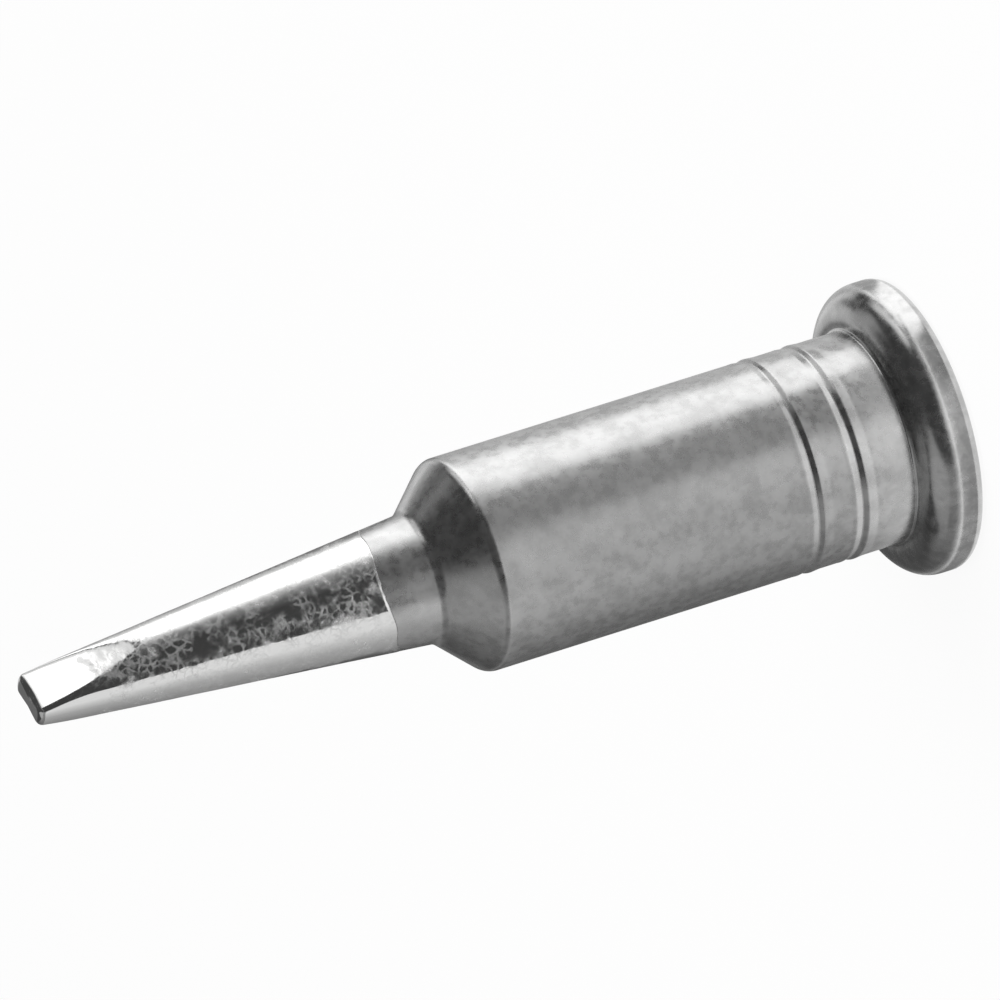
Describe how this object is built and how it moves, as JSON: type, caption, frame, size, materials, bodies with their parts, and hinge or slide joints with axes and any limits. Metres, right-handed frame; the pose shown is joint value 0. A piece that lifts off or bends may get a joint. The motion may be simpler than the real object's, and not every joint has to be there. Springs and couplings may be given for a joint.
{
  "type": "soldering iron tip",
  "caption": "Turned and plated slip-on soldering tip: hollow flanged barrel with fine rings, stepping through a cone to a long taper with a double-flat chisel end.",
  "frame": {"origin": "centre of the flange's rear face, on which the tip stands", "axes": "+Z along the turned axis towards the chisel, chisel edge along X, the two flats facing -Y and +Y"},
  "size_m": [0.0112, 0.0112, 0.0366],
  "materials": {
    "plated_metal": "satin plating, tinned to a mirror on the taper and chisel"
  },
  "bodies": {
    "root": {"soldering_tip": "plated_metal"}
  },
  "joints": []
}
